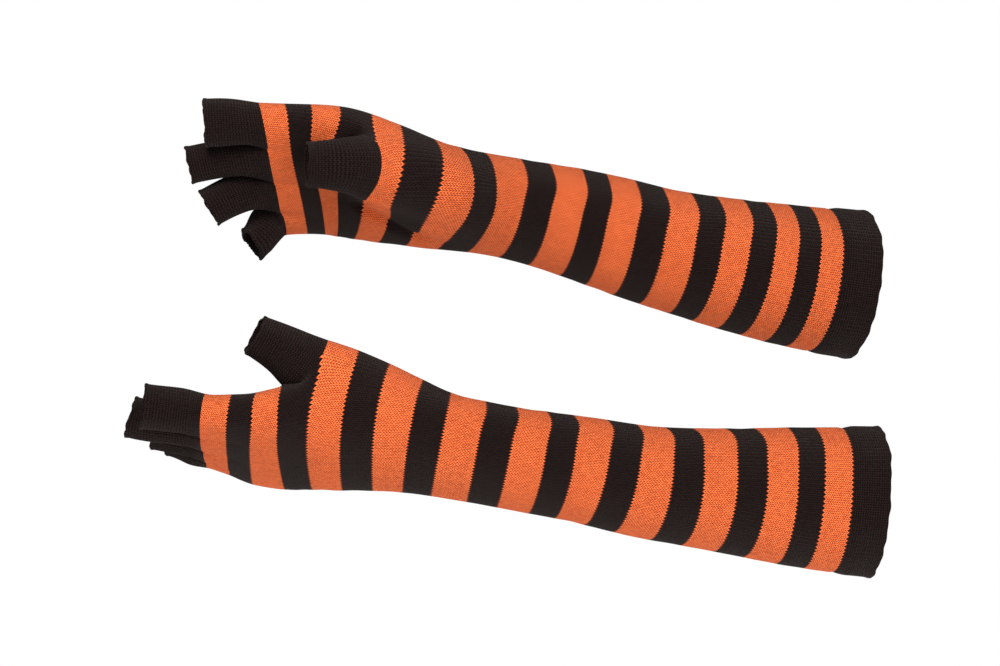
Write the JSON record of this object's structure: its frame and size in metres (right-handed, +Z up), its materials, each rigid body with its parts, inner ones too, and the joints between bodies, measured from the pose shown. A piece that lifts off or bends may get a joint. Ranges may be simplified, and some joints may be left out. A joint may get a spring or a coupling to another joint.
{
  "type": "fingerless gloves",
  "caption": "Pair of elbow-length striped knitted fingerless gloves in worn shape, with ribbed cuffs, open finger tubes and open thumbs that bend at wrist, knuckles and thumb.",
  "frame": {"origin": "centre of the right glove's forearm opening, where the glove is held by the wearer's arm", "axes": "+Z up, fingers towards -X, openings towards +X, thumb edges towards -Y"},
  "size_m": [0.4036, 0.1956, 0.2505],
  "materials": {
    "orange_knit": "plain jersey knit, matte with a soft fuzz",
    "black_knit": "plain jersey knit, matte with a soft fuzz",
    "black_rib": "one-by-one ribbed knit, matte"
  },
  "bodies": {
    "right_forearm": {"right_elbow_cuff": "black_rib", "right_orange_band_11": "orange_knit", "right_orange_band_10": "orange_knit", "right_orange_band_9": "orange_knit", "right_orange_band_8": "orange_knit", "right_orange_band_7": "orange_knit", "right_orange_band_6": "orange_knit", "right_orange_band_5": "orange_knit", "right_black_band_10": "black_knit", "right_black_band_9": "black_knit", "right_black_band_8": "black_knit", "right_black_band_7": "black_knit", "right_black_band_6": "black_knit", "right_black_band_5": "black_knit", "right_black_band_4": "black_knit"},
    "right_hand": {"right_orange_band_4": "orange_knit", "right_orange_band_3": "orange_knit", "right_orange_band_2": "orange_knit", "right_orange_band_1": "orange_knit", "right_black_band_3": "black_knit", "right_black_band_2": "black_knit", "right_black_band_1": "black_knit", "right_thumb_gusset": "black_rib"},
    "right_index_finger": {"right_index_tube": "black_rib"},
    "right_middle_finger": {"right_middle_tube": "black_rib"},
    "right_ring_finger": {"right_ring_tube": "black_rib"},
    "right_little_finger": {"right_little_tube": "black_rib"},
    "right_thumb": {"right_thumb_tube": "black_rib"},
    "left_forearm": {"left_elbow_cuff": "black_rib", "left_orange_band_11": "orange_knit", "left_orange_band_10": "orange_knit", "left_orange_band_9": "orange_knit", "left_orange_band_8": "orange_knit", "left_orange_band_7": "orange_knit", "left_orange_band_6": "orange_knit", "left_orange_band_5": "orange_knit", "left_black_band_10": "black_knit", "left_black_band_9": "black_knit", "left_black_band_8": "black_knit", "left_black_band_7": "black_knit", "left_black_band_6": "black_knit", "left_black_band_5": "black_knit", "left_black_band_4": "black_knit"},
    "left_hand": {"left_orange_band_4": "orange_knit", "left_orange_band_3": "orange_knit", "left_orange_band_2": "orange_knit", "left_orange_band_1": "orange_knit", "left_black_band_3": "black_knit", "left_black_band_2": "black_knit", "left_black_band_1": "black_knit", "left_thumb_gusset": "black_rib"},
    "left_index_finger": {"left_index_tube": "black_rib"},
    "left_middle_finger": {"left_middle_tube": "black_rib"},
    "left_ring_finger": {"left_ring_tube": "black_rib"},
    "left_little_finger": {"left_little_tube": "black_rib"},
    "left_thumb": {"left_thumb_tube": "black_rib"}
  },
  "joints": [
    {"name": "right_wrist_bend", "type": "hinge", "parent": "right_forearm", "child": "right_hand", "pos_m": [-0.2149, -0.0665, 0.0435], "axis": [0.3238, -0.4305, 0.8425], "range_deg": [-28, 28], "stiffness_Nm_per_rad": 1.2, "deforming": ["right_black_band_4"]},
    {"name": "right_index_bend", "type": "hinge", "parent": "right_hand", "child": "right_index_finger", "pos_m": [-0.3206, -0.1296, 0.0821], "axis": [0.0774, -0.6086, 0.7897], "range_deg": [-10, 50], "stiffness_Nm_per_rad": 0.05, "deforming": ["right_orange_band_1"]},
    {"name": "right_middle_bend", "type": "hinge", "parent": "right_hand", "child": "right_middle_finger", "pos_m": [-0.3186, -0.1161, 0.0663], "axis": [-0.063, -0.6243, 0.7786], "range_deg": [-10, 50], "stiffness_Nm_per_rad": 0.05},
    {"name": "right_ring_bend", "type": "hinge", "parent": "right_hand", "child": "right_ring_finger", "pos_m": [-0.3166, -0.1025, 0.0505], "axis": [-0.0466, -0.682, 0.7298], "range_deg": [-15, 30], "stiffness_Nm_per_rad": 0.05},
    {"name": "right_little_bend", "type": "hinge", "parent": "right_hand", "child": "right_little_finger", "pos_m": [-0.3146, -0.089, 0.0347], "axis": [0.008, -0.7791, 0.6268], "range_deg": [-8, 30], "stiffness_Nm_per_rad": 0.05},
    {"name": "right_thumb_swing", "type": "hinge", "parent": "right_hand", "child": "right_thumb", "pos_m": [-0.2676, -0.1245, 0.0587], "axis": [0, 0, 1], "range_deg": [0, 22], "stiffness_Nm_per_rad": 0.06, "deforming": ["right_thumb_gusset"]},
    {"name": "left_glove_slides_off", "type": "slide", "parent": "right_forearm", "child": "left_forearm", "axis": [-1, 0, 0], "range_m": [0, 0.1]},
    {"name": "left_wrist_bend", "type": "hinge", "parent": "left_forearm", "child": "left_hand", "pos_m": [-0.2375, -0.116, -0.084], "axis": [-0.1338, 0.5736, -0.8081], "range_deg": [-28, 28], "stiffness_Nm_per_rad": 1.2, "deforming": ["left_black_band_4"]},
    {"name": "left_index_bend", "type": "hinge", "parent": "left_hand", "child": "left_index_finger", "pos_m": [-0.3501, -0.1423, -0.0675], "axis": [-0.182, 0.9154, -0.3591], "range_deg": [-10, 50], "stiffness_Nm_per_rad": 0.05, "deforming": ["left_orange_band_1"]},
    {"name": "left_middle_bend", "type": "hinge", "parent": "left_hand", "child": "left_middle_finger", "pos_m": [-0.3504, -0.1248, -0.0746], "axis": [-0.0456, 0.9272, -0.3717], "range_deg": [-10, 50], "stiffness_Nm_per_rad": 0.05},
    {"name": "left_ring_bend", "type": "hinge", "parent": "left_hand", "child": "left_ring_finger", "pos_m": [-0.3506, -0.1072, -0.0818], "axis": [0.0831, 0.9159, -0.3926], "range_deg": [-15, 30], "stiffness_Nm_per_rad": 0.05},
    {"name": "left_little_bend", "type": "hinge", "parent": "left_hand", "child": "left_little_finger", "pos_m": [-0.3509, -0.0897, -0.0889], "axis": [0.1845, 0.8752, -0.4472], "range_deg": [-8, 30], "stiffness_Nm_per_rad": 0.05},
    {"name": "left_thumb_swing", "type": "hinge", "parent": "left_hand", "child": "left_thumb", "pos_m": [-0.295, -0.1206, -0.0465], "axis": [0, 1, 0], "range_deg": [-8, 20], "stiffness_Nm_per_rad": 0.06, "deforming": ["left_thumb_gusset"]}
  ]
}
